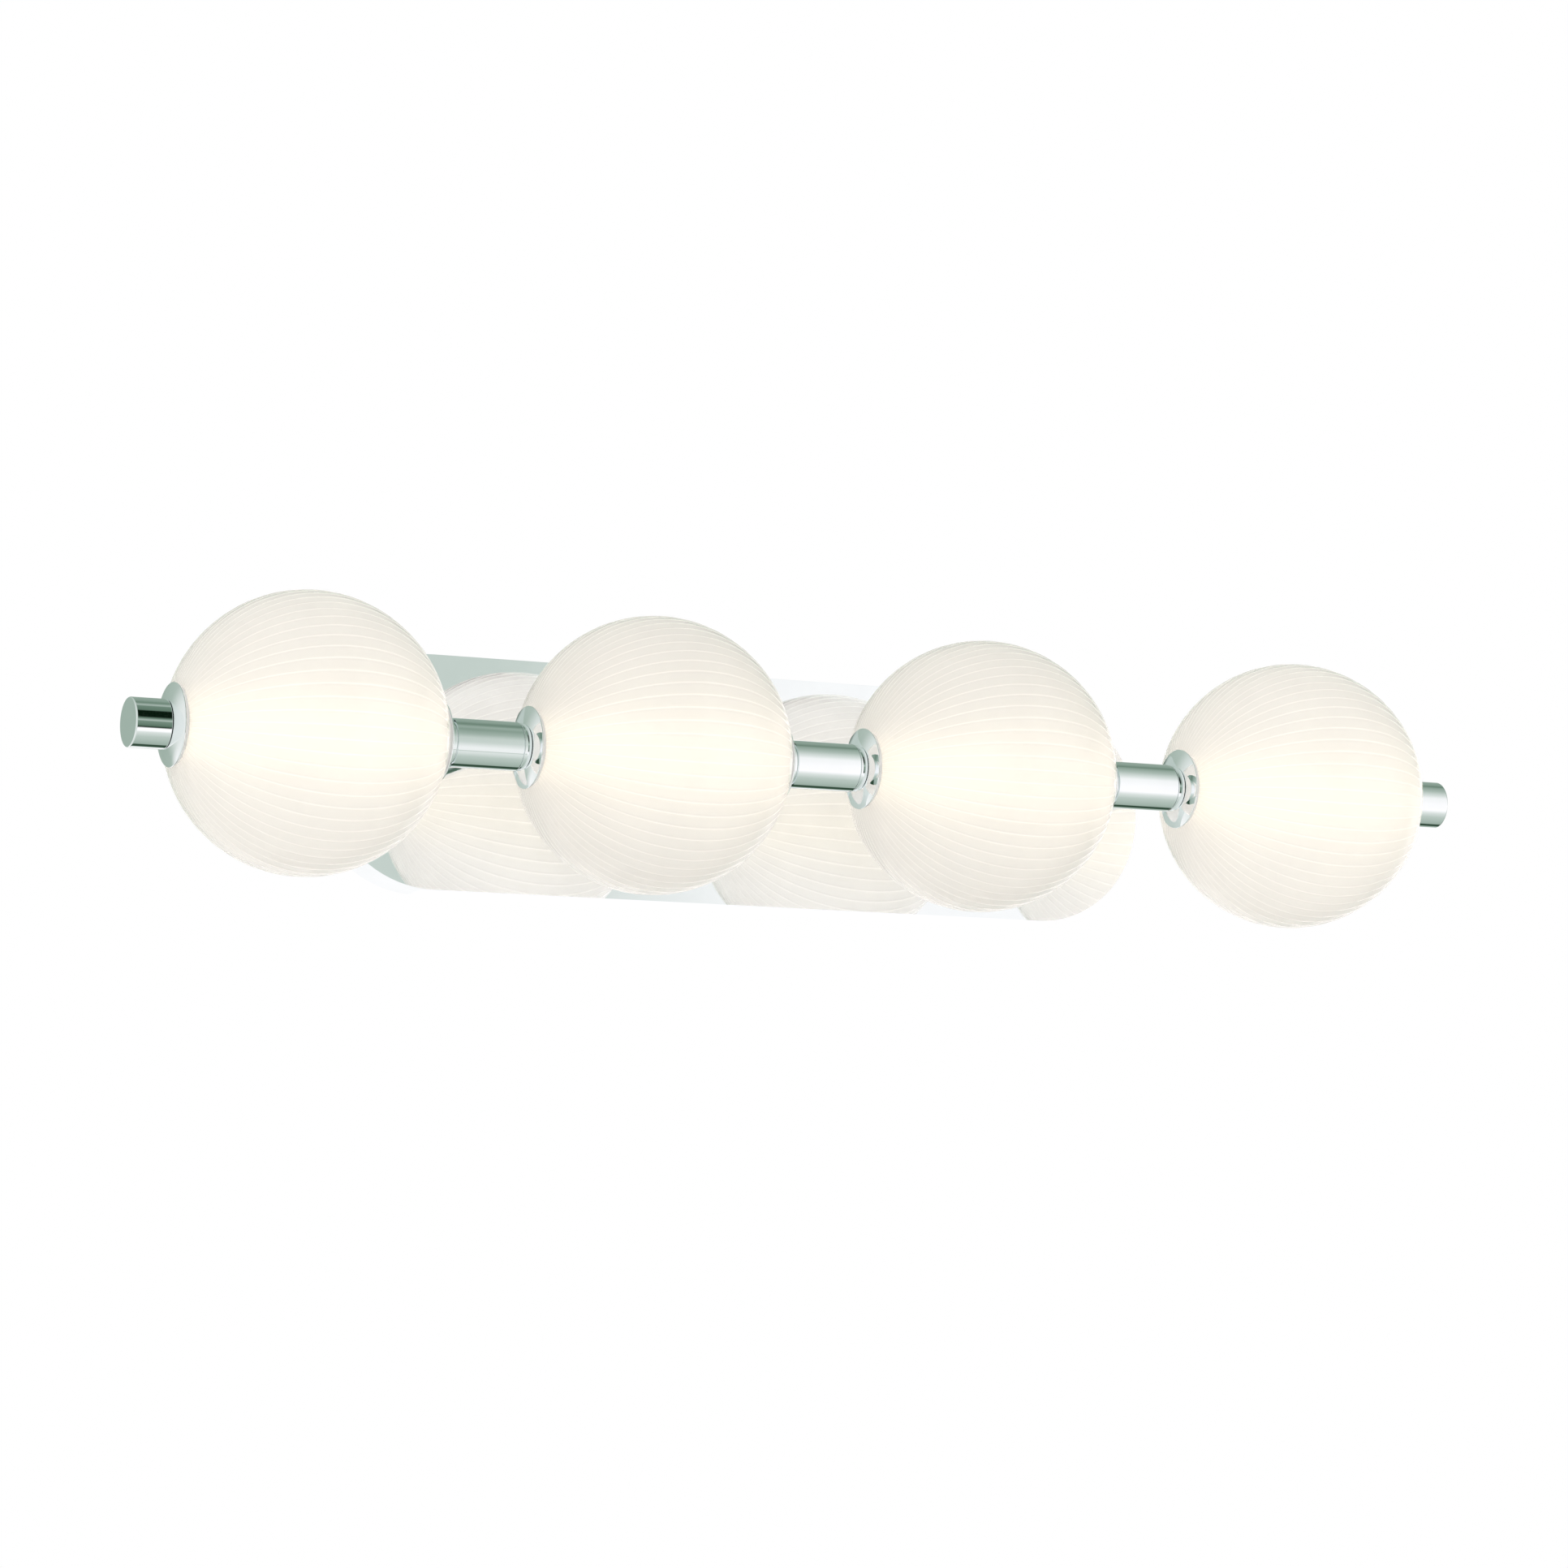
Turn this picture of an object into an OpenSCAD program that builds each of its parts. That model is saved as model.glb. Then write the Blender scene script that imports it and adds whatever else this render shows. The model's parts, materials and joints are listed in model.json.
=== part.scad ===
// Vanity light bar: opal globes threaded on a horizontal bar, held off a stadium-shaped wall pan.
// The wall is the plane y = 0 and the lamp faces -Y. +X runs along the bar and +Z is up.

/* [Wall pan] */
// Length of the wall pan from end to end
pan_length = 488; // [470:2:520]
// Height of the wall pan, which is also the diameter of its round ends
pan_height = 125.5; // [120:0.5:140]
// Depth of the wall pan from the wall to its front face
pan_depth = 24; // [24:1:32]
// Thickness of the pan's sheet metal
pan_wall = 1.5; // [1.2:0.1:2]

/* [Globes] */
// Outer diameter of a glass globe
globe_d = 145; // [140:1:150]
// Wall thickness of the glass
glass_wall = 3; // [2:0.5:4]
// Distance between the centres of neighbouring globes
globe_pitch = 192.5; // [190:0.5:210]
// Diameter of the opening at each pole of a globe
globe_opening_d = 33.2; // [32.8:0.2:34]

/* [Bar] */
// Outer diameter of the bar's tubes and end caps
bar_d = 25.4; // [25:0.2:27]
// Distance from the pan's front face to the bar's axis
bar_reach = 93; // [88:1:110]
// Wall thickness of the bar's tubes and of the arms
tube_wall = 1.5; // [1:0.1:1.8]
// Outer diameter of a standoff arm
arm_d = 19; // [18.4:0.2:20]
// Length of the part of an end cap that shows
end_cap_length = 19; // [18:0.5:24]
// Outer diameter of a collar's rim
collar_d = 42.8; // [42:0.2:46]
// Height of a collar's cone, from its rim to its small end
collar_height = 3.9; // [3.6:0.1:5]

/* [Lamp cores] */
// Outer diameter of the frosted sleeve round a lamp core
sleeve_d = 30; // [29:0.5:30.4]
// Number of light-emitting chips on each board
chips_per_board = 12; // [6:1:16]

/* [Wall bracket] */
// Length of the wall bracket
bracket_length = 250; // [230:5:280]
// Distance between the centres of the junction-box slots
box_slot_spacing = 88.9; // [83:0.1:92]
// End-to-end length of a junction-box slot
box_slot_length = 24; // [14:1:26]
// Diameter of the wire opening in the middle of the bracket
wire_opening_d = 38; // [30:1:42]

/* [Hidden] */
$fn = 96;
globe_count = 4;
lamps = [1:globe_count];

eps = 0.1;       // overshoot that carries a cut clear through a face
touch = 0.02;    // clearance between brazed, pressed or screwed round faces that stay together
running = 0.05;  // radial clearance of a thread that is turned

// Stations along the bar, counted outwards from a globe's centre
globe_r = globe_d / 2;
opening_r = globe_opening_d / 2;
collar_r = collar_d / 2;
bar_r = bar_d / 2;
rim_lift = 1.93;    // height of a collar's rim over the glass
lip_height = 0.6;   // height of the collar's cylindrical rim
lip_width = 1;      // width of the rim that hides the seat's edge
cone_bulge = 0.35;  // how far the cone's middle swells
hub_length = 2.4;
hub_step = 0.4;     // how much smaller than the bar a hub is
hub_r = bar_r - hub_step;
spigot_length = 6;
spigot_clear = 0.1;
spigot_r = bar_r - tube_wall - spigot_clear;
tube_gap = 0.7;     // shadow line between a hub and a tube
cap_gap = 0.25;     // shadow line between an outer collar and its end cap
rim_x = sqrt(globe_r * globe_r - collar_r * collar_r) + rim_lift;
recess_x = rim_x + lip_height;
cone_top_x = rim_x + collar_height;
tube_start_x = cone_top_x + hub_length + tube_gap;
cap_start_x = cone_top_x + cap_gap;
cap_end_x = cap_start_x + end_cap_length;
cap_bore_gap = 2;    // room in an end cap's bore beyond the collar's spigot
cap_bore_length = spigot_length + cap_bore_gap;
cap_end_wall = 4;
cap_chamfer = 0.8;

// The rod and the wires inside it
rod_r = 6.35;
rod_bore_r = 4.2;
rod_clear = 0.15;
rod_clear_r = rod_r + rod_clear;
rod_end_gap = 0.35; // room between the rod's end and the bottom of an end cap's thread
rod_end_x = cap_end_x - cap_end_wall - rod_end_gap;
bar_y = -(pan_depth + bar_reach);
end_lamp_x = (globe_count - 1) / 2 * globe_pitch;
feed_wire_r = 0.9;
feed_offset = 1.6;      // height of each feed wire over and under the bar's axis
feed_branch_x = -55;    // where the feed wires leave the rod, counted from a globe's centre
branch_hole_r = 1.6;
entry_hole_r = 3.5;
entry_clear = 0.5;      // how much larger the tube's hole is than the rod's

// Lamp cores
core_r = 11;
flat_distance = 10;     // distance of the core's four flats from its axis
board = [1.2, 9, 124];
chip = [0.9, 2.8, 3.5];
chip_sink = 0.1;        // depth of a chip's solder joint in its board
sleeve_wall = 1.5;
seat_depth = 5.8;       // length of the seat's plug, from the collar inwards
seat_flange_t = 3;
seat_clear = 0.1;
groove_depth = 2;

// Standoff arms stand midway between the outer two globes on each side
arm_x = end_lamp_x - globe_pitch / 2;
arm_r = arm_d / 2;
nipple_r = 6;
nipple_bore_r = 4;
nipple_clear = 0.3;
nipple_in_arm = 16;
nipple_behind = 10;     // how far the nipple stands into the pan
washer_r = 13;
washer_t = 1.2;
nut_flats = 19;
nut_t = 5;

// Inside of the pan
pan_inner_y = -(pan_depth - pan_wall);
pan_inner_half = pan_height / 2 - pan_wall;
bracket_t = 2;
bracket_clear = 0.25;
bracket_half_z = pan_inner_half - bracket_clear;
flange_depth = 18;
box_screw_r = 2.3;
anchor_r = 2.6;
anchor_spacing_x = 210;
anchor_spacing_z = 80;
set_screw_x = 110;
set_screw_y = -10;
set_screw_r = 2.45;
set_screw_length = 14;
set_screw_hole_r = 2.8;
set_screw_tip = 1;      // length and depth of the taper at its point
set_screw_sink = 0.1;   // how far its top lies below the pan's top
socket_flats = 2.5;
socket_depth = 2.5;
weld_nut_t = 4;
weld_nut_flats = 8;
ground = [-25, -40];    // x and z of the ground screw
ground_boss_r = 6;
ground_boss_t = 3;
ground_thread_r = 2;
ground_flange_r = 4.6;
ground_flange_t = 0.8;
ground_head_flats = 6.4;
ground_head_t = 2.6;
ground_tip_y = -0.3;

// Light driver, on the right of the wire opening
driver_x = 66;
driver_length = 100;
driver_half_z = 19;
driver_tab = 7;
driver_base_t = 1;
driver_height = 15;
driver_wall = 1.5;
wire_hole_clear = 0.3;
board_y = -19.9;
board_t = 1.6;
board_margin = 3;       // from the case's outside to the board, at the ends and at the sides
transformer = [20, 9, 18];
choke = [12, 8, 11];
driver_chip = [8, 2, 9];
transformer_place = [40, -9];   // places count from the case's near end and from the bar's height
choke_place = [68, 2];
driver_chip_place = [84, -13];
capacitor_pitch = 9;
large_capacitor = [3.6, 8];     // radius and height
small_capacitor = [3.1, 7];
large_capacitor_place = [12, -11];
small_capacitor_place = [74, -8];
stud_r = 1.5;
stud_clear = 0.1;
stud_length = 7.5;
stud_nut_flats = 5.5;
stud_nut_t = 2.4;

// Wires in the pan
wire_y = -11;
ground_wire_y = -16;
supply_wire_r = 1.2;
supply_z = 6;
supply_turn_x = 40;
ground_wire_r = 1;
ground_turn_z = -30;
ground_ring_r = 3.4;
ground_ring_turn = 290;
connector_x = -56;
connector_z = 26;
connector_places = [[wire_y, connector_z], [ground_wire_y, 0], [wire_y, -connector_z]];
connector_length = 22;
connector_r = 5.5;
connector_taper = 2;
connector_grip = 9;
connector_bore_r = 2;
connector_bore_depth = 12;
wing_reach = 1.6;
wing_t = 1.8;
wire_in_connector = 8;
wire_in_driver = 2;
feed_in_driver = 4;
wire_end_x = connector_x - wire_in_connector;
ground_rise_x = ground[0] - ground_ring_r;
ground_ring_y = -(bracket_t + ground_boss_t + ground_wire_r);
supply_route = [
    [driver_x + wire_in_driver, wire_y, supply_z],
    [supply_turn_x, wire_y, supply_z],
    [supply_turn_x, wire_y, connector_z],
    [wire_end_x, wire_y, connector_z]
];
ground_route = [
    [ground_rise_x, ground_ring_y, ground[1]],
    [ground_rise_x, ground_ring_y, ground_turn_z],
    [ground_rise_x, ground_wire_y, ground_turn_z],
    [ground_rise_x, ground_wire_y, 0],
    [wire_end_x, ground_wire_y, 0]
];
supply_bend_r = 8;
ground_bend_r = 4;
feed_bend_r = 3;

function lamp_x(i) = (i - (globe_count + 1) / 2) * globe_pitch;
function across_flats(f) = f / 2 / cos(30);
function unit(v) = v / norm(v);
function heading(route, k) = unit(route[k + 1] - route[k]);
// Angle by which a route turns at its point k
function turn_at(route, k) = acos(heading(route, k - 1) * heading(route, k));
// Length that a bend takes from the straight on each side of point k
function trim_at(route, k, bend_r) =
    k == 0 || k == len(route) - 1 ? 0 : bend_r * tan(turn_at(route, k) / 2);
// Outward stations of a collar's convex cone, as [radius, station] pairs
function cone_arc(low, steps = 6) = [
    for (k = [0:steps])
        let (t = k / steps)
        [collar_r + (hub_r - collar_r) * t, low + (cone_top_x - low) * t + 4 * cone_bulge * t * (1 - t)]
];

// Children drawn along +Z come to lie along the bar's axis, from station x
module along_bar(x = 0) {
    translate([x, bar_y, 0]) rotate([0, 90, 0]) children();
}
// The same, mirrored for the left side of a globe
module at_side(x, side) {
    along_bar(x) mirror([0, 0, side < 0 ? 1 : 0]) children();
}
// Children drawn along +Z come to point from the wall towards the room, from depth y
module off_wall(x, y, z = 0) {
    translate([x, y, z]) rotate([90, 0, 0]) children();
}
module ring(outer, inner, h) {
    difference() {
        cylinder(r = outer, h = h);
        translate([0, 0, -eps]) cylinder(r = inner, h = h + 2 * eps);
    }
}
module hex_nut(flats, bore, h) {
    difference() {
        cylinder(r = across_flats(flats), h = h, $fn = 6);
        translate([0, 0, -eps]) cylinder(r = bore, h = h + 2 * eps);
    }
}
module stadium(length, height, depth) {
    straight = length - height;
    linear_extrude(depth) union() {
        square([straight, height], center = true);
        for (s = [-1, 1]) translate([s * straight / 2, 0]) circle(d = height);
    }
}
module segment(p, q, r) {
    d = q - p;
    l = norm(d);
    translate(p) rotate([0, acos(d[2] / l), atan2(d[1], d[0])]) cylinder(r = r, h = l);
}
// Quarter or shorter arc of wire that rounds the route at its point k
module elbow(route, k, r, bend_r) {
    u = heading(route, k - 1);
    v = heading(route, k);
    axis = unit(cross(u, v));
    out = unit(cross(u, axis));
    start = route[k] - u * trim_at(route, k, bend_r);
    centre = start - out * bend_r;
    multmatrix([for (i = [0:2]) [out[i], u[i], axis[i], centre[i]]])
        rotate_extrude(angle = turn_at(route, k)) translate([bend_r, 0]) circle(r = r);
}
// Wire along a route of straights, with every corner rounded
module wire(route, r, bend_r) {
    for (k = [0:len(route) - 2]) {
        u = heading(route, k);
        start = route[k] + u * trim_at(route, k, bend_r);
        end = route[k + 1] - u * trim_at(route, k + 1, bend_r);
        segment(start, end, r);
    }
    if (len(route) > 2) for (k = [1:len(route) - 2]) elbow(route, k, r, bend_r);
}

// Wall pan: a deep-drawn stadium, open towards the wall
module backplate_pan() {
    color("silver") difference() {
        off_wall(0, 0) stadium(pan_length, pan_height, pan_depth);
        off_wall(0, eps)
            stadium(pan_length - 2 * pan_wall, pan_height - 2 * pan_wall, pan_depth - pan_wall + eps);
        for (s = [-1, 1]) {
            off_wall(s * arm_x, eps) cylinder(r = nipple_r + nipple_clear, h = pan_depth + 2 * eps);
            translate([s * set_screw_x, set_screw_y, bracket_half_z])
                cylinder(r = set_screw_hole_r, h = pan_height / 2 - bracket_half_z + eps);
        }
    }
}
module slot(x) {
    straight = box_slot_length - 2 * box_screw_r;
    off_wall(x, eps) union() {
        translate([-straight / 2, -box_screw_r, 0]) cube([straight, 2 * box_screw_r, bracket_t + 2 * eps]);
        for (s = [-1, 1]) translate([s * straight / 2, 0, 0])
            cylinder(r = box_screw_r, h = bracket_t + 2 * eps);
    }
}
// Wall bracket: a steel channel screwed to the junction box, which carries the pan's top wall
module wall_bracket() {
    color("lightgray") difference() {
        union() {
            translate([-bracket_length / 2, -bracket_t, -bracket_half_z])
                cube([bracket_length, bracket_t, 2 * bracket_half_z]);
            for (z = [-bracket_half_z, bracket_half_z - bracket_t])
                translate([-bracket_length / 2, -flange_depth, z])
                    cube([bracket_length, flange_depth, bracket_t]);
            for (s = [-1, 1])
                translate([s * set_screw_x, set_screw_y, bracket_half_z - bracket_t - weld_nut_t])
                    cylinder(r = across_flats(weld_nut_flats), h = weld_nut_t + eps, $fn = 6);
            off_wall(ground[0], -bracket_t + eps, ground[1])
                cylinder(r = ground_boss_r, h = ground_boss_t + eps);
        }
        off_wall(0, eps) cylinder(d = wire_opening_d, h = bracket_t + 2 * eps);
        for (s = [-1, 1]) {
            slot(s * box_slot_spacing / 2);
            for (z = [-1, 1])
                off_wall(s * anchor_spacing_x / 2, eps, z * anchor_spacing_z / 2)
                    cylinder(r = anchor_r, h = bracket_t + 2 * eps);
            translate([s * set_screw_x, set_screw_y, bracket_half_z - 2 * weld_nut_t])
                cylinder(r = set_screw_r + running, h = 2 * weld_nut_t + eps);
        }
        off_wall(ground[0], eps, ground[1]) cylinder(r = ground_thread_r + touch, h = 2 * ground_boss_r);
    }
}
module ground_screw() {
    head_y = -(bracket_t + ground_boss_t + 2 * ground_wire_r);
    color("green") union() {
        off_wall(ground[0], head_y, ground[1]) cylinder(r = ground_flange_r, h = ground_flange_t);
        off_wall(ground[0], head_y - ground_flange_t, ground[1])
            cylinder(r = across_flats(ground_head_flats), h = ground_head_t, $fn = 6);
        off_wall(ground[0], ground_tip_y, ground[1])
            cylinder(r = ground_thread_r, h = ground_tip_y - head_y + eps);
    }
}
// Set screws: headless, with a hex socket, turned down through the pan's top wall into the bracket
module set_screw(side) {
    top = pan_height / 2 - set_screw_sink;
    color("dimgray") translate([side * set_screw_x, set_screw_y, 0]) difference() {
        union() {
            translate([0, 0, top - set_screw_length + set_screw_tip])
                cylinder(r = set_screw_r, h = set_screw_length - set_screw_tip);
            translate([0, 0, top - set_screw_length])
                cylinder(r1 = set_screw_r - set_screw_tip, r2 = set_screw_r, h = set_screw_tip);
        }
        translate([0, 0, top - socket_depth])
            cylinder(r = across_flats(socket_flats), h = socket_depth + eps, $fn = 6);
    }
}

// Light driver
module driver_case() {
    inner = [driver_length - 2 * driver_wall, driver_height - driver_wall, 2 * (driver_half_z - driver_wall)];
    low_y = pan_inner_y + driver_base_t;
    color("white") difference() {
        translate([driver_x, low_y, -driver_half_z]) cube([driver_length, driver_height, 2 * driver_half_z]);
        translate([driver_x + driver_wall, low_y - eps, -driver_half_z + driver_wall])
            cube([inner[0], inner[1] + eps, inner[2]]);
        for (s = [-1, 1]) {
            translate([driver_x - eps, wire_y, s * supply_z]) rotate([0, 90, 0])
                cylinder(r = supply_wire_r + wire_hole_clear, h = driver_wall + 2 * eps);
            translate([driver_x + driver_length + eps, wire_y, s * feed_offset]) rotate([0, -90, 0])
                cylinder(r = feed_wire_r + wire_hole_clear, h = driver_wall + 2 * eps);
        }
    }
}
module driver_base() {
    color("lightgray") difference() {
        translate([driver_x - driver_tab, pan_inner_y, -driver_half_z])
            cube([driver_length + 2 * driver_tab, driver_base_t, 2 * driver_half_z]);
        at_studs(pan_inner_y + eps) cylinder(r = stud_r + stud_clear, h = 3 * driver_base_t, center = true);
    }
}
module board_block(place, size) {
    translate([driver_x + place[0], board_y + board_t - eps, place[1]]) cube(size);
}
module capacitors(place, count, size) {
    for (k = [0:count - 1])
        translate([driver_x + place[0] + k * capacitor_pitch, board_y + board_t - eps, place[1]])
            rotate([-90, 0, 0]) cylinder(r = size[0], h = size[1]);
}
// Circuit board with its transformer, choke, driver chip and capacitors
module driver_board() {
    half_z = driver_half_z - board_margin;
    color("darkgreen") union() {
        translate([driver_x + board_margin, board_y, -half_z])
            cube([driver_length - 2 * board_margin, board_t, 2 * half_z]);
        board_block(transformer_place, transformer);
        board_block(choke_place, choke);
        board_block(driver_chip_place, driver_chip);
        capacitors(large_capacitor_place, 3, large_capacitor);
        capacitors(small_capacitor_place, 2, small_capacitor);
    }
}
module at_studs(y) {
    for (x = [-driver_tab / 2, driver_length + driver_tab / 2]) off_wall(driver_x + x, y) children();
}
module driver_studs() {
    color("gray") at_studs(pan_inner_y + stud_length) cylinder(r = stud_r, h = stud_length);
}
module driver_nuts() {
    color("gray") at_studs(pan_inner_y + driver_base_t + stud_nut_t)
        hex_nut(stud_nut_flats, stud_r + touch, stud_nut_t);
}

// Wires and connectors inside the pan
module supply_wire(tone, side) {
    color(tone) wire([for (p = supply_route) [p[0], p[1], side * p[2]]], supply_wire_r, supply_bend_r);
}
module supply_wire_black() {
    supply_wire("black", 1);
}
module supply_wire_white() {
    supply_wire("whitesmoke", -1);
}
module ground_wire() {
    color("green") union() {
        wire(ground_route, ground_wire_r, ground_bend_r);
        off_wall(ground[0], ground_ring_y, ground[1]) rotate(180)
            rotate_extrude(angle = ground_ring_turn) translate([ground_ring_r, 0]) circle(r = ground_wire_r);
    }
}
// Twist-on connectors: a tapered cap with two grip wings, its mouth towards +X
module wire_connectors() {
    wing = [2 * (connector_r + wing_reach), wing_t, connector_grip];
    color("orange") for (p = connector_places) translate([connector_x, p[0], p[1]]) rotate([0, -90, 0])
        difference() {
            union() {
                cylinder(r = connector_r, h = connector_grip);
                translate([0, 0, connector_grip]) cylinder(
                    r1 = connector_r,
                    r2 = connector_r - connector_taper,
                    h = connector_length - connector_grip
                );
                translate([-wing[0] / 2, -wing[1] / 2, 0]) cube(wing);
            }
            translate([0, 0, -eps]) cylinder(r = connector_bore_r, h = connector_bore_depth);
        }
}

// Standoff arms: tubes brazed to the bar, screwed to the pan by hollow nipples
module standoff_arm(side) {
    length = -pan_depth - bar_y;
    color("silver") difference() {
        off_wall(side * arm_x, -pan_depth) ring(arm_r, arm_r - tube_wall, length);
        along_bar(side * arm_x - 2 * arm_r) cylinder(r = bar_r + touch, h = 4 * arm_r);
    }
}
module standoff_arm_left() {
    standoff_arm(-1);
}
module standoff_arm_right() {
    standoff_arm(1);
}
module at_arms(y) {
    for (s = [-1, 1]) off_wall(s * arm_x, y) children();
}
module arm_bushings() {
    color("goldenrod") at_arms(-pan_depth) ring(arm_r - tube_wall - touch, nipple_r + touch, nipple_in_arm);
}
module arm_nipples() {
    color("goldenrod") at_arms(pan_inner_y + nipple_behind)
        ring(nipple_r, nipple_bore_r, nipple_behind + pan_wall + nipple_in_arm);
}
module arm_washers() {
    color("gray") at_arms(pan_inner_y + washer_t) ring(washer_r, nipple_r + nipple_clear, washer_t);
}
module arm_nuts() {
    color("goldenrod") at_arms(pan_inner_y + washer_t + nut_t) hex_nut(nut_flats, nipple_r + touch, nut_t);
}

// Bar: a hollow rod carries every collar, globe and tube, and the end caps clamp the stack
module bar_rod() {
    rod_half = end_lamp_x + rod_end_x;
    color("goldenrod") difference() {
        along_bar(-rod_half) ring(rod_r, rod_bore_r, 2 * rod_half);
        for (s = [-1, 1]) off_wall(s * arm_x, bar_y + 2 * rod_r) cylinder(r = entry_hole_r, h = 2 * rod_r);
        for (i = lamps) translate([lamp_x(i) + feed_branch_x, bar_y, -2 * rod_r])
            cylinder(r = branch_hole_r, h = 4 * rod_r);
    }
}
module bar_tube(x, has_arm) {
    length = globe_pitch - 2 * tube_start_x;
    color("silver") difference() {
        along_bar(x - length / 2) ring(bar_r, bar_r - tube_wall, length);
        if (has_arm) off_wall(x, bar_y + 2 * bar_r) cylinder(r = entry_hole_r + entry_clear, h = 2 * bar_r);
    }
}
module bar_tube_left() {
    bar_tube(-arm_x, true);
}
module bar_tube_middle() {
    bar_tube(0, false);
}
module bar_tube_right() {
    bar_tube(arm_x, true);
}
// End caps: turned finials that screw onto the rod's ends
module end_cap(side) {
    color("silver") at_side(side * end_lamp_x, side) difference() {
        union() {
            translate([0, 0, cap_start_x]) cylinder(r = bar_r, h = end_cap_length - cap_chamfer);
            translate([0, 0, cap_end_x - cap_chamfer])
                cylinder(r1 = bar_r, r2 = bar_r - cap_chamfer, h = cap_chamfer);
        }
        translate([0, 0, cap_start_x - eps]) cylinder(r = bar_r - tube_wall, h = cap_bore_length);
        translate([0, 0, cap_start_x]) cylinder(r = rod_r + running, h = end_cap_length - cap_end_wall);
    }
}
module end_cap_left() {
    end_cap(-1);
}
module end_cap_right() {
    end_cap(1);
}
// Feed wires: from the driver through the right arm and along the rod, with a branch to every lamp
module feed_wire(tone, side) {
    z = side * feed_offset;
    first_x = lamp_x(1) + feed_branch_x;
    last_x = lamp_x(globe_count) + feed_branch_x;
    inside_driver = driver_x + driver_length - feed_in_driver;
    color(tone) union() {
        wire([[inside_driver, wire_y, z], [arm_x, wire_y, z], [arm_x, bar_y, z]], feed_wire_r, feed_bend_r);
        translate([arm_x, bar_y, z]) sphere(r = feed_wire_r);
        segment([first_x, bar_y, z], [last_x, bar_y, z], feed_wire_r);
        for (i = lamps) segment(
            [lamp_x(i) + feed_branch_x, bar_y, z],
            [lamp_x(i) + feed_branch_x, bar_y, side * (flat_distance - touch)],
            feed_wire_r
        );
        for (x = [first_x, last_x]) translate([x, bar_y, z]) sphere(r = feed_wire_r);
    }
}
module feed_wire_positive() {
    feed_wire("red", 1);
}
module feed_wire_negative() {
    feed_wire("black", -1);
}

// One lamp: a glass globe on two seats between two collars, with a lit core inside
module glass_globe(i) {
    color("ivory") along_bar(lamp_x(i)) difference() {
        sphere(r = globe_r);
        sphere(r = globe_r - glass_wall);
        translate([0, 0, -globe_r]) cylinder(r = opening_r, h = globe_d);
    }
}
module led_core(i) {
    color("lightgray") along_bar(lamp_x(i)) difference() {
        intersection() {
            translate([0, 0, -recess_x]) cylinder(r = core_r, h = 2 * recess_x);
            cube([2 * flat_distance, 2 * flat_distance, 2 * recess_x + 1], center = true);
        }
        translate([0, 0, -recess_x - eps]) cylinder(r = rod_clear_r, h = 2 * recess_x + 2 * eps);
        translate([0, 0, feed_branch_x]) rotate([0, 90, 0])
            cylinder(r = branch_hole_r, h = 4 * core_r, center = true);
    }
}
module led_boards(i) {
    chip_pitch = board[2] / chips_per_board;
    color("gold") along_bar(lamp_x(i)) for (a = [0:90:270]) rotate([0, 0, a]) union() {
        translate([flat_distance, -board[1] / 2, -board[2] / 2]) cube(board);
        for (k = [0:chips_per_board - 1])
            translate([
                flat_distance + board[0] - chip_sink,
                -chip[1] / 2,
                (k + 0.5) * chip_pitch - (board[2] + chip[2]) / 2
            ]) cube(chip);
    }
}
module diffuser_sleeve(i) {
    half = recess_x - seat_depth + groove_depth - seat_clear;
    color("white") along_bar(lamp_x(i) - half) ring(sleeve_d / 2, sleeve_d / 2 - sleeve_wall, 2 * half);
}
// Seat: a soft ring that centres the glass on the core and cushions it under the collar
module globe_seat(i, side) {
    plug_x = recess_x - seat_depth;
    color("whitesmoke") at_side(lamp_x(i), side) difference() {
        union() {
            translate([0, 0, plug_x]) cylinder(r = opening_r - seat_clear, h = seat_depth);
            difference() {
                translate([0, 0, recess_x - seat_flange_t])
                    ring(collar_r - lip_width - seat_clear, core_r, seat_flange_t);
                sphere(r = globe_r);
            }
        }
        translate([0, 0, plug_x - eps]) cylinder(r = core_r + touch, h = seat_depth + 2 * eps);
        translate([0, 0, plug_x - eps])
            ring(sleeve_d / 2 + seat_clear, sleeve_d / 2 - sleeve_wall - seat_clear, groove_depth + eps);
    }
}
// Collar: a shallow convex cone with a thin rim; inner collars also have a hub ring
module collar(i, side) {
    is_end = (i == 1 && side < 0) || (i == globe_count && side > 0);
    hub_top_x = cone_top_x + (is_end ? 0 : hub_length);
    color("silver") at_side(lamp_x(i), side) rotate_extrude() polygon(concat(
        [[rod_clear_r, recess_x], [collar_r - lip_width, recess_x]],
        [[collar_r - lip_width, rim_x], [collar_r, rim_x]],
        cone_arc(rim_x + lip_height),
        is_end ? [] : [[hub_r, hub_top_x]],
        [[spigot_r, hub_top_x], [spigot_r, hub_top_x + spigot_length]],
        [[rod_clear_r, hub_top_x + spigot_length]]
    ));
}

backplate_pan();
wall_bracket();
ground_screw();
set_screw(-1);  // set_screw_left
set_screw(1);  // set_screw_right
driver_case();
driver_base();
driver_board();
driver_studs();
driver_nuts();
supply_wire_black();
supply_wire_white();
ground_wire();
wire_connectors();
standoff_arm_left();
standoff_arm_right();
arm_bushings();
arm_nipples();
arm_washers();
arm_nuts();
bar_rod();
bar_tube_left();
bar_tube_middle();
bar_tube_right();
end_cap_left();
end_cap_right();
feed_wire_positive();
feed_wire_negative();
for (i = lamps) {
    glass_globe(i);
    led_core(i);
    led_boards(i);
    diffuser_sleeve(i);
    globe_seat(i, -1);
    globe_seat(i, 1);
    collar(i, -1);
    collar(i, 1);
}
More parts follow.
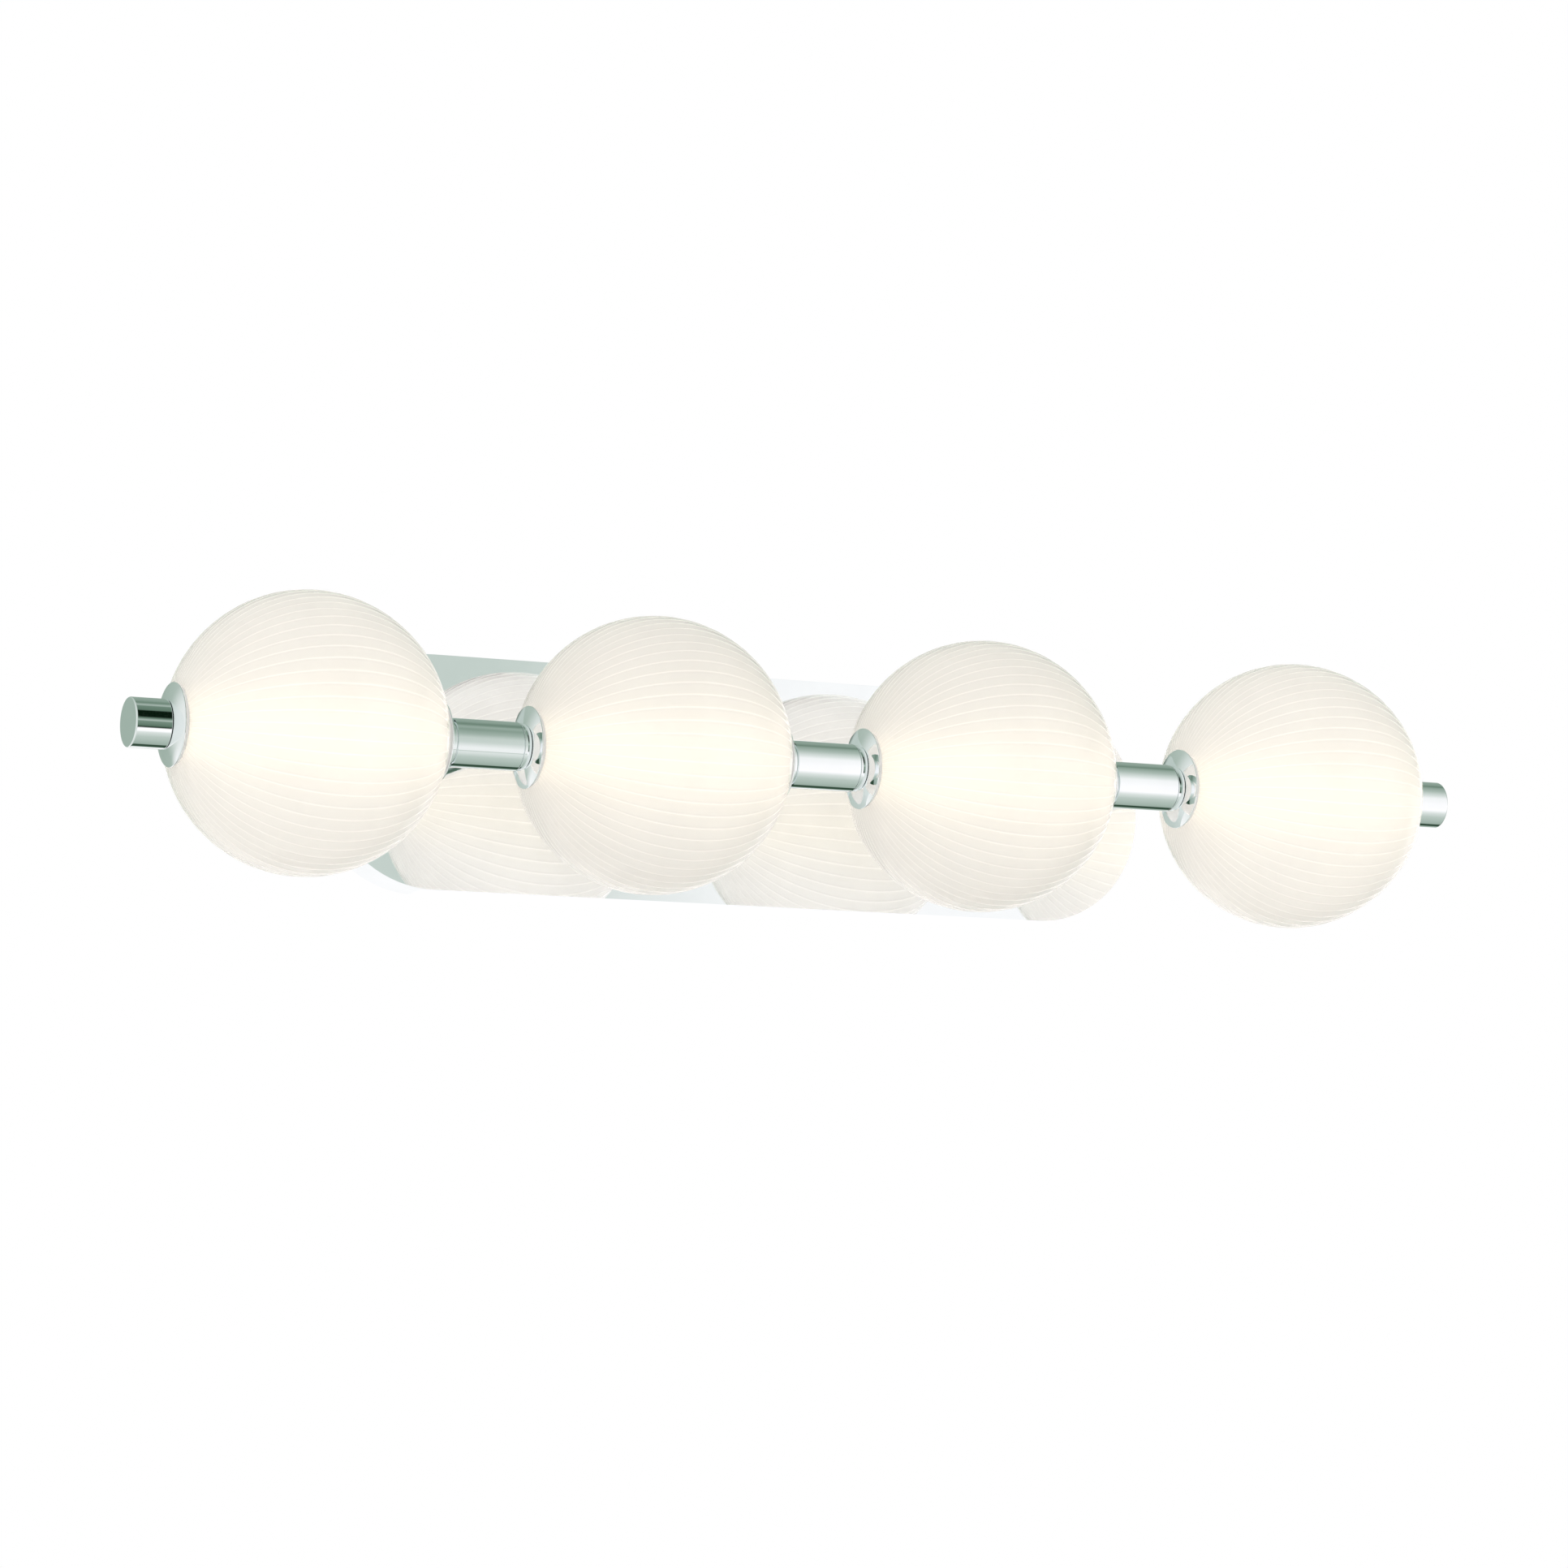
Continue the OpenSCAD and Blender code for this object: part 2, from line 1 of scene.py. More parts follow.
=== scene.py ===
"""Looks of the vanity light bar: four ribbed opal globes on a chrome bar, held off a chrome wall pan.

Lengths are in metres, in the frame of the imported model: the wall is y = 0, the lamp faces -Y, +X runs along
the bar and +Z is up.
"""
import json
import math

import bpy
from mathutils import Matrix, Vector


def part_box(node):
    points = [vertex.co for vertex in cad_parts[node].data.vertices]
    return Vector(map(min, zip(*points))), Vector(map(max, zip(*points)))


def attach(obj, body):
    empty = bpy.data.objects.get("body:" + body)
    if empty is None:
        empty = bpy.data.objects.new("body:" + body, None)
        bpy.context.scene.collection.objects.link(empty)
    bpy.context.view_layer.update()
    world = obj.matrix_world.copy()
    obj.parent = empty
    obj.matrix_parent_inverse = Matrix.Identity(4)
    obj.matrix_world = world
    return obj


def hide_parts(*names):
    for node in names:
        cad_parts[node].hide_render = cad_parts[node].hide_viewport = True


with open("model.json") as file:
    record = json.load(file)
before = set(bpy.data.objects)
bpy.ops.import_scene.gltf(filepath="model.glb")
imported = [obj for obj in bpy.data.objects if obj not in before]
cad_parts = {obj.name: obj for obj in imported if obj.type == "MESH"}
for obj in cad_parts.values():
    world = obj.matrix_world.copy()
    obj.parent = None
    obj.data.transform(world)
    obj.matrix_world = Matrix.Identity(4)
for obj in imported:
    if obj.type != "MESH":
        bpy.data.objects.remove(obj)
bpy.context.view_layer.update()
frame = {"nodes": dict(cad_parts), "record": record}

MM = 0.001
FIXED_BODY = "fixture"
GLOBES = (1, 2, 3, 4)
SIDES = {"left": -1, "right": 1}


def middle(low, high):
    """Halfway between two numbers or two points."""
    return (low + high) / 2


# Globes
globe_low, globe_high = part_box("glass_globe_1")
GLOBE_R = (globe_high.z - globe_low.z) / 2
BAR_Y = middle(globe_low.y, globe_high.y)
# The openings at a globe's poles are flat cuts, so a globe is shorter along the bar than it is high
OPENING_R = math.sqrt(GLOBE_R**2 - ((globe_high.x - globe_low.x) / 2) ** 2)
GLASS_WALL = 3 * MM
RIBS = 64
RIB_HEIGHT = 0.24 * MM
RIB_HALF_WIDTH = 0.22  # of the pitch between two ribs
RIB_FLANK_STEPS = 4
RIB_CURVE = 1.7  # 1 is a straight flank, more is a hollow one
CREST_HALF_WIDTH = 0.1  # of the pitch
VALLEY_STEPS = (0.32, 0.41, 0.5)  # of the pitch, from a rib's crest
OUTER_RINGS = 64
INNER_RINGS = 40

# Edges that turn by more than this are shaded as edges
CREASE_ANGLE = math.radians(24)

# Turned chrome pieces
rod_low, rod_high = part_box("bar_rod")
tube_low, tube_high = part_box("bar_tube_middle")
rim_low, rim_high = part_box("collar_2_left")
ROD_R = (rod_high.z - rod_low.z) / 2
BAR_R = (tube_high.z - tube_low.z) / 2
COLLAR_R = (rim_high.z - rim_low.z) / 2
TURNED_SIDES = 128
ROUND_STEPS = 5
ROUND_MARGIN = 1.15  # of the rounding's length
FINE_ROUNDING = 0.25 * MM
TUBE_WALL = 1.5 * MM
THREAD_CLEARANCE = 0.05 * MM
CAP_BORE = 8 * MM
CAP_END_WALL = 4 * MM
CAP_ROUNDING = 0.9 * MM
ROD_CLEARANCE = 0.15 * MM
SPIGOT_CLEARANCE = 0.1 * MM
SPIGOT_LENGTH = 6 * MM
HUB_STEP = 0.4 * MM
HUB_LENGTH = 2.4 * MM
COLLAR_LIP = 1.0 * MM
COLLAR_RIM = 0.6 * MM
COLLAR_HEIGHT = 3.9 * MM
CONE_BULGE = 0.3 * MM
CONE_STEPS = 10


# ---------------------------------------------------------------- meshes


def mesh_object(name, verts, faces, body, nodes, materials):
    """A smooth-shaded piece that rides on a body and stands for CAD nodes."""
    mesh = bpy.data.meshes.new(name)
    mesh.from_pydata(verts, [], faces)
    mesh.shade_smooth()
    mesh.set_sharp_from_angle(angle=CREASE_ANGLE)
    for material in materials:
        mesh.materials.append(MATERIALS[material])
    piece = bpy.data.objects.new(name, mesh)
    bpy.context.scene.collection.objects.link(piece)
    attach(piece, body)
    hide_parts(*nodes)
    return piece


def ring_faces(rings, count, close=False):
    """Quads between neighbouring rings of count points each."""
    faces = []
    for ring in range(rings if close else rings - 1):
        low = ring * count
        high = (ring + 1) % rings * count
        for k in range(count):
            n = (k + 1) % count
            faces.append((low + k, high + k, high + n, low + n))
    return faces


def rib_places():
    """Pairs of place round the globe, in turns, and share of the rib's height there."""
    flank = [RIB_HALF_WIDTH * k / RIB_FLANK_STEPS for k in range(1, RIB_FLANK_STEPS + 1)]
    right = flank + list(VALLEY_STEPS)
    left = [-u for u in right[-2::-1]]
    places = []
    for rib in range(RIBS):
        for u in left + [0] + right:
            across = min(1, abs(u) / RIB_HALF_WIDTH)
            places.append(((rib + u) / RIBS, (1 - across) ** RIB_CURVE))
    return places


def glass_ring(centre, places, polar, radius, relief):
    """Points of one ring of a glass wall, at a polar angle from +X.

    The relief is how far the ribs stand out at the globe's middle. It fades towards the poles.
    """
    ring = []
    for turn, height in places:
        r = radius - relief * (1 - height) * math.sin(polar)
        a = 2 * math.pi * turn
        away = r * math.sin(polar)
        ring.append(centre + Vector((r * math.cos(polar), away * math.cos(a), away * math.sin(a))))
    return ring


def glass_angles(radius, rings):
    """Angles of a wall's rings, from the edge of the right opening to the edge of the left one."""
    first = math.asin(OPENING_R / radius)
    return [first + (math.pi - 2 * first) * k / (rings - 1) for k in range(rings)]


def build_globes():
    """Glass walls, ribbed outside from pole to pole and smooth inside."""
    places = rib_places()
    faces = ring_faces(OUTER_RINGS + INNER_RINGS, len(places), close=True)
    first_inside = OUTER_RINGS * len(places)
    inner_r = GLOBE_R - GLASS_WALL
    for i in GLOBES:
        centre = middle(*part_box(f"glass_globe_{i}"))
        verts = []
        for polar in glass_angles(GLOBE_R, OUTER_RINGS):
            verts += glass_ring(centre, places, polar, GLOBE_R, RIB_HEIGHT)
        for polar in reversed(glass_angles(inner_r, INNER_RINGS)):
            verts += glass_ring(centre, places, polar, inner_r, 0)
        slots = ["opal_glass", "opal_glass_inside"]
        globe = mesh_object(f"glass_{i}", verts, faces, FIXED_BODY, [f"glass_globe_{i}"], slots)
        for face in globe.data.polygons[first_inside:]:
            face.material_index = 1


def rounded(corners):
    """The outline through corners of (along, radius, rounding), with each corner rounded off.

    A point just beyond each end of a rounding keeps its shading off the straight next to it.
    """
    outline = []
    for k, (along, radius, rounding) in enumerate(corners):
        here = Vector((along, radius))
        if not rounding:
            outline.append(here)
            continue
        before, after = (Vector(corners[(k + step) % len(corners)][:2]) for step in (-1, 1))
        enter = (before - here).normalized() * rounding
        leave = (after - here).normalized() * rounding
        outline.append(here + enter * ROUND_MARGIN)
        for step in range(ROUND_STEPS + 1):
            t = step / ROUND_STEPS
            outline.append(here + enter * (1 - t) ** 2 + leave * t**2)
        outline.append(here + leave * ROUND_MARGIN)
    return outline


def turned(name, outline, start, side, body, node):
    """Chrome piece turned on the bar's axis, its outline counted from start towards one side.

    An outline is a closed loop, or begins and ends on the axis.
    """
    is_solid = outline[0].y == 0
    rings = outline[1:-1] if is_solid else outline
    verts = []
    for along, radius in rings:
        for k in range(TURNED_SIDES):
            a = 2 * math.pi * k / TURNED_SIDES * side
            verts.append((start + side * along, BAR_Y + radius * math.cos(a), radius * math.sin(a)))
    faces = ring_faces(len(rings), TURNED_SIDES, close=not is_solid)
    if is_solid:
        first_pole = len(verts)
        last_ring = first_pole - TURNED_SIDES
        verts += [(start + side * end.x, BAR_Y, 0) for end in (outline[0], outline[-1])]
        for k in range(TURNED_SIDES):
            n = (k + 1) % TURNED_SIDES
            faces += [(first_pole, k, n), (last_ring + k, first_pole + 1, last_ring + n)]
    return mesh_object(name, verts, faces, body, [node], ["chrome"])


def build_end_caps():
    """Finials on the bar's ends, bored for the last collar's spigot and for the rod's thread."""
    for word, side in SIDES.items():
        low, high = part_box(f"end_cap_{word}")
        length = high.x - low.x
        bore_r = BAR_R - TUBE_WALL
        thread_r = ROD_R + THREAD_CLEARANCE
        outline = rounded(
            [
                (length, 0, 0),
                (length, BAR_R, CAP_ROUNDING),
                (0, BAR_R, FINE_ROUNDING),
                (0, bore_r, 0),
                (CAP_BORE, bore_r, 0),
                (CAP_BORE, thread_r, 0),
                (length - CAP_END_WALL, thread_r, 0),
                (length - CAP_END_WALL, 0, 0),
            ]
        )
        start = low.x if side > 0 else high.x
        turned(f"cap_{word}", outline, start, side, f"{word}_end_cap", f"end_cap_{word}")


def collar_outline(rim, has_hub):
    """Outline of a collar, from its spigot over the cone and the rim to its seat recess."""
    hub_r = BAR_R - HUB_STEP
    bore_r = ROD_R + ROD_CLEARANCE
    spigot_r = BAR_R - TUBE_WALL - SPIGOT_CLEARANCE
    recess = rim + COLLAR_RIM
    cone_top = rim + COLLAR_HEIGHT
    hub_top = cone_top + (HUB_LENGTH if has_hub else 0)
    cone = []
    for k in range(CONE_STEPS):
        t = k / CONE_STEPS
        # A parabola that reaches the full bulge halfway down the cone
        swell = 4 * CONE_BULGE * t * (1 - t)
        cone.append((cone_top + (recess - cone_top) * t + swell, hub_r + (COLLAR_R - hub_r) * t, 0))
    return rounded(
        [
            (hub_top + SPIGOT_LENGTH, bore_r, 0),
            (hub_top + SPIGOT_LENGTH, spigot_r, 0),
            (hub_top, spigot_r, 0),
            *([(hub_top, hub_r, FINE_ROUNDING)] if has_hub else []),
            *cone,
            (recess, COLLAR_R, FINE_ROUNDING),
            (rim, COLLAR_R, FINE_ROUNDING),
            (rim, COLLAR_R - COLLAR_LIP, 0),
            (recess, COLLAR_R - COLLAR_LIP, 0),
            (recess, bore_r, 0),
        ]
    )


def build_collars():
    """Chrome cones on both sides of each globe. The outermost two have no hub."""
    for i in GLOBES:
        centre = middle(*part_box(f"glass_globe_{i}")).x
        for word, side in SIDES.items():
            node = f"collar_{i}_{word}"
            low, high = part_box(node)
            rim = low.x - centre if side > 0 else centre - high.x
            is_end = (i, word) in ((GLOBES[0], "left"), (GLOBES[-1], "right"))
            turned(f"rim_{i}_{word}", collar_outline(rim, not is_end), centre, side, FIXED_BODY, node)


# ---------------------------------------------------------------- materials


# A pattern's value at which a material is at its darkest, and at its lightest
PATTERN_LOW = 0.35
PATTERN_HIGH = 0.65
CLOUD_DETAIL = 3.0

OPAL_DARK = (0.93, 0.915, 0.89)
OPAL_LIGHT = (0.95, 0.935, 0.91)
OPAL_SCALE = 25  # lumps per metre
OPAL_IOR = 1.45
# Painted glow: the glass gives off a weak light of its own in place of the lamp's light that scatters in the
# milky glass, with a painted highlight line along each rib's crest
PAINTED_GLASS_GLOW = 0.21
PAINTED_GLOW_BETWEEN_RIBS = (0.46, 0.435, 0.386)
PAINTED_CREST_HIGHLIGHT = (0.88, 0.84, 0.77)
SLEEVE_GLOW = 0.62
SLEEVE_GLOW_COLOUR = (1.0, 0.91, 0.77)


def add(tree, kind, inputs=None, **settings):
    """A new node, with its sockets set to values or linked to other nodes' sockets."""
    node = tree.nodes.new(kind)
    for key, value in settings.items():
        setattr(node, key, value)
    for socket, value in (inputs or {}).items():
        if isinstance(value, bpy.types.NodeSocket):
            tree.links.new(value, node.inputs[socket])
        else:
            node.inputs[socket].default_value = value
    return node


def rgba(colour):
    """A colour with full opacity."""
    return (*colour, 1)


def mix_colours(tree, factor, first, second):
    """Output socket that goes from the first colour to the second as the factor goes from 0 to 1."""
    node = add(tree, "ShaderNodeMix", data_type="RGBA")
    sockets = {socket.identifier: socket for socket in node.inputs}
    for name, value in (("Factor_Float", factor), ("A_Color", first), ("B_Color", second)):
        if isinstance(value, bpy.types.NodeSocket):
            tree.links.new(value, sockets[name])
        else:
            sockets[name].default_value = value
    return next(socket for socket in node.outputs if socket.identifier == "Result_Color")


def object_place(tree):
    """The object's own coordinates, in metres."""
    return add(tree, "ShaderNodeTexCoord").outputs["Object"]


def clouds(tree, scale):
    """Soft clouds from 0 to 1, scale in lumps per metre."""
    inputs = {"Vector": object_place(tree), "Scale": scale, "Detail": CLOUD_DETAIL}
    return add(tree, "ShaderNodeTexNoise", inputs).outputs["Fac"]


def crystals(tree, scale):
    """Angular patches of random brightness from 0 to 1, scale in patches per metre."""
    inputs = {"Vector": object_place(tree), "Scale": scale}
    return add(tree, "ShaderNodeTexVoronoi", inputs).outputs["Color"]


def surface(name, dark, light, rough, scale=60, pattern=clouds, relief=0.01 * MM, grain=900, **plain):
    """A material whose colour and roughness follow one pattern and whose fine relief is its own.

    The relief is in metres and its grain in lumps per metre. Plain sockets are set by name.
    """
    material = bpy.data.materials.new(name)
    material.use_nodes = True
    tree = material.node_tree
    shader = tree.nodes["Principled BSDF"]
    for socket, value in plain.items():
        shader.inputs[socket.replace("_", " ")].default_value = value
    spread = {"Value": pattern(tree, scale), "From Min": PATTERN_LOW, "From Max": PATTERN_HIGH}
    share = add(tree, "ShaderNodeMapRange", spread).outputs["Result"]
    colour = mix_colours(tree, share, rgba(dark), rgba(light))
    gloss = {"Value": share, "To Min": rough[0], "To Max": rough[1]}
    roughness = add(tree, "ShaderNodeMapRange", gloss).outputs["Result"]
    height = {"Height": clouds(tree, grain), "Distance": relief, "Strength": 1.0}
    normal = add(tree, "ShaderNodeBump", height).outputs["Normal"]
    for output, socket in ((colour, "Base Color"), (roughness, "Roughness"), (normal, "Normal")):
        tree.links.new(output, shader.inputs[socket])
    return material


def crest_share(tree):
    """1 on the crest of each of a globe's ribs, and 0 between the ribs: where the glass's painted highlight
    lines go.
    """
    place = add(tree, "ShaderNodeSeparateXYZ", {"Vector": object_place(tree)}).outputs
    from_axis = add(tree, "ShaderNodeMath", {0: place["Y"], 1: BAR_Y}, operation="SUBTRACT").outputs[0]
    angle = add(tree, "ShaderNodeMath", {0: place["Z"], 1: from_axis}, operation="ARCTAN2").outputs[0]
    inputs = {0: angle, 1: RIBS / (2 * math.pi)}
    pitches = add(tree, "ShaderNodeMath", inputs, operation="MULTIPLY").outputs[0]
    # How far the nearest crest is, from 0 to half a pitch
    away = add(tree, "ShaderNodeMath", {0: pitches, 1: 0.5}, operation="PINGPONG").outputs[0]
    inputs = {"Value": away, "From Min": CREST_HALF_WIDTH, "From Max": 0.0}
    return add(tree, "ShaderNodeMapRange", inputs).outputs["Result"]


def opal_glass():
    """Satin opal glass: a white body that shows the lit lamp behind it, with a painted glow and a painted
    highlight line along each rib's crest.
    """
    material = surface(
        "opal_glass",
        OPAL_DARK,
        OPAL_LIGHT,
        (0.12, 0.15),
        scale=OPAL_SCALE,
        Transmission_Weight=0.65,
        IOR=OPAL_IOR,
        Specular_IOR_Level=0.1,
        Emission_Strength=PAINTED_GLASS_GLOW,
    )
    tree = material.node_tree
    # Painted glow and painted highlight: the glass's emission is stronger along each rib's crest
    painted_glow = mix_colours(tree, crest_share(tree), rgba(PAINTED_GLOW_BETWEEN_RIBS), rgba(PAINTED_CREST_HIGHLIGHT))
    tree.links.new(painted_glow, tree.nodes["Principled BSDF"].inputs["Emission Color"])
    return material


def opal_glass_inside():
    """The glass wall's inner face, where the milky body scatters the lamp's light widely."""
    return surface(
        "opal_glass_inside",
        OPAL_DARK,
        OPAL_LIGHT,
        (0.85, 0.9),
        scale=OPAL_SCALE,
        Transmission_Weight=1.0,
        IOR=OPAL_IOR,
    )


def sleeve_acrylic():
    """Frosted sleeve round a lit lamp core."""
    return surface(
        "sleeve_acrylic",
        (0.90, 0.86, 0.76),
        (0.95, 0.92, 0.84),
        (0.45, 0.6),
        relief=0.02 * MM,
        Emission_Color=rgba(SLEEVE_GLOW_COLOUR),
        Emission_Strength=SLEEVE_GLOW,
    )


def metal(name, dark, light, rough, **settings):
    """A surface of bare metal."""
    return surface(name, dark, light, rough, Metallic=1.0, **settings)


def insulation(name, dark, light):
    """Wire insulation, with a faint matt grain."""
    return surface(name, dark, light, (0.35, 0.5), scale=200, relief=0.02 * MM, grain=1500)


def make_materials():
    """One material for each slot of the record, and one more for the inside of the glass."""
    return {
        "chrome": metal(
            "chrome",
            (0.92, 0.94, 0.95),
            (0.94, 0.96, 0.97),
            (0.015, 0.04),
            relief=0.003 * MM,
            grain=45,
        ),
        "opal_glass": opal_glass(),
        "opal_glass_inside": opal_glass_inside(),
        "sleeve_acrylic": sleeve_acrylic(),
        "silicone": surface(
            "silicone",
            (0.78, 0.78, 0.75),
            (0.86, 0.86, 0.84),
            (0.5, 0.65),
        ),
        "core_aluminium": metal("core_aluminium", (0.66, 0.67, 0.68), (0.8, 0.81, 0.82), (0.3, 0.45)),
        "led_board": surface("led_board", (0.85, 0.84, 0.78), (0.93, 0.92, 0.88), (0.35, 0.5)),
        "zinc_steel": metal(
            "zinc_steel",
            (0.66, 0.68, 0.70),
            (0.77, 0.79, 0.80),
            (0.3, 0.42),
            scale=220,
            pattern=crystals,
            relief=0.02 * MM,
            grain=1200,
        ),
        "black_steel": metal("black_steel", (0.03, 0.03, 0.032), (0.06, 0.06, 0.065), (0.35, 0.5)),
        "brass": metal(
            "brass",
            (0.60, 0.42, 0.17),
            (0.82, 0.62, 0.30),
            (0.2, 0.4),
            scale=150,
            relief=0.02 * MM,
            grain=700,
        ),
        "green_screw": metal("green_screw", (0.02, 0.20, 0.07), (0.04, 0.32, 0.11), (0.3, 0.45), scale=300),
        "driver_plastic": surface(
            "driver_plastic",
            (0.72, 0.72, 0.69),
            (0.82, 0.82, 0.80),
            (0.42, 0.6),
            relief=0.04 * MM,
            grain=1300,
        ),
        "circuit_board": surface(
            "circuit_board",
            (0.01, 0.09, 0.04),
            (0.02, 0.16, 0.07),
            (0.3, 0.5),
            scale=250,
            pattern=crystals,
        ),
        "wire_black": insulation("wire_black", (0.012, 0.012, 0.013), (0.03, 0.03, 0.032)),
        "wire_white": insulation("wire_white", (0.70, 0.70, 0.67), (0.82, 0.82, 0.80)),
        "wire_green": insulation("wire_green", (0.01, 0.16, 0.05), (0.02, 0.26, 0.09)),
        "wire_red": insulation("wire_red", (0.42, 0.015, 0.012), (0.6, 0.03, 0.02)),
        "connector_plastic": surface(
            "connector_plastic",
            (0.72, 0.2, 0.02),
            (0.86, 0.3, 0.04),
            (0.4, 0.55),
            relief=0.03 * MM,
            grain=1300,
        ),
    }


def dress_cad_nodes():
    """Gives every CAD node the material of its slot in the record."""
    for part in frame["record"]["subparts"]:
        mesh = frame["nodes"][part["node"]].data
        mesh.materials.clear()
        mesh.materials.append(MATERIALS[part["material_slot"]])


# ---------------------------------------------------------------- studio


# What polished metal mirrors, as pairs of angle and brightness. The angle turns about the bar's axis: 0 is
# straight ahead of the lamp, 90 is above it, -90 is below and 180 is behind.
BELOW = ((-146, 0.5), (-141, 0.1), (-124, 0.05), (-119, 0.44), (-72, 0.6), (-50, 0.8))
ABOVE = ((96, 0.24), (102, 0.28), (115, 0.36), (148, 0.4))
WHITE_BEHIND = (((-180, 1.04), (-166, 1.04), (-158, 0.5)), ((156, 0.5), (166, 1.04), (180, 1.04)))
GREY_BEHIND = (((-180, 0.5), (-170, 1.0), (-152, 1.04)), ((180, 0.5),))
LEFT_SIDE = (
    (-180, 0.46),
    (-168, 0.5),
    (-160, 1.0),
    (-150, 1.0),
    (-120, 0.75),
    (-60, 0.85),
    (0, 0.62),
    (60, 0.66),
    (120, 0.62),
    (165, 0.46),
    (180, 0.46),
)
BRIGHT_SIDE = ((-35, 1.06), (-5, 1.04), (25, 0.97), (40, 0.78), (64, 0.52), (90, 0.35))
GREY_MIDDLE = (
    (-44, 0.8),
    (-42, 0.5),
    (-40, 0.92),
    (-25, 0.92),
    (0, 0.68),
    (20, 0.64),
    (38, 0.46),
    (62, 0.34),
    (78, 0.42),
    (88, 0.3),
)
DARK_SIDE = (
    (-43, 1.06),
    (-32, 1.06),
    (-27, 0.03),
    (-18, 0.2),
    (0, 0.28),
    (4, 0.55),
    (14, 0.2),
    (21, 0.01),
    (48, 0.01),
    (53, 0.2),
    (74, 0.25),
    (80, 0.5),
)
FAR_LEFT = 0.88
# How strongly a mirrored brightness of less than 1 is darkened, in red, green and blue
TINT = (1.29, 1, 1.18)
# The room is plain white. What the mirrors show of the lamp is lit a little more.
ROOM_LIGHT = (1.0, 1.0, 1.0)
LIGHT_ON_MIRRORED = (1.13, 1.13, 1.17)
# Where one side turns into the next, as the sine of the angle from straight ahead towards +X
FAR_TO_LEFT = (-0.95, -0.45)
LEFT_TO_DARK = (-0.1, 0.2)
DARK_TO_GREY = (0.338, 0.36)
GREY_TO_BRIGHT = (0.385, 0.44)


def tone(level):
    """Studio grey of a brightness: the darker, the more it leans to blue-green."""
    return rgba(level**power for power in TINT)


def all_round(behind, ahead):
    """Brightness stops of the full turn, from behind the lamp over below, ahead and above to behind."""
    return behind[0] + BELOW + ahead + ABOVE + behind[1]


def light_ramp(tree, turn, stops):
    """Brightness all the way round the bar's axis."""
    ramp = add(tree, "ShaderNodeValToRGB", {"Fac": turn})
    elements = ramp.color_ramp.elements
    while len(elements) < len(stops):
        elements.new(0.5)
    for element, (angle, level) in zip(elements, stops):
        element.position = (angle + 180) / 360
        element.color = tone(level)
    return ramp.outputs["Color"]


def soft_step(tree, value, edges, first, second):
    """first below the edges, second above them, and a smooth change between."""
    inputs = {"Value": value, "From Min": edges[0], "From Max": edges[1]}
    step = add(tree, "ShaderNodeMapRange", inputs, interpolation_type="SMOOTHSTEP")
    return mix_colours(tree, step.outputs["Result"], first, second)


def seen_in_mirror(tree):
    """1 for light that reaches the lamp by a mirror, 0 for the camera's and for scattered light."""
    path = add(tree, "ShaderNodeLightPath").outputs
    inputs = {0: path["Transmission Depth"], 1: path["Diffuse Depth"]}
    scattered = add(tree, "ShaderNodeMath", inputs, operation="ADD").outputs[0]
    unscattered = add(tree, "ShaderNodeMath", {0: 1.0, 1: scattered}, operation="SUBTRACT")
    unscattered.use_clamp = True
    inputs = {0: path["Is Glossy Ray"], 1: unscattered.outputs[0]}
    return add(tree, "ShaderNodeMath", inputs, operation="MULTIPLY").outputs[0]


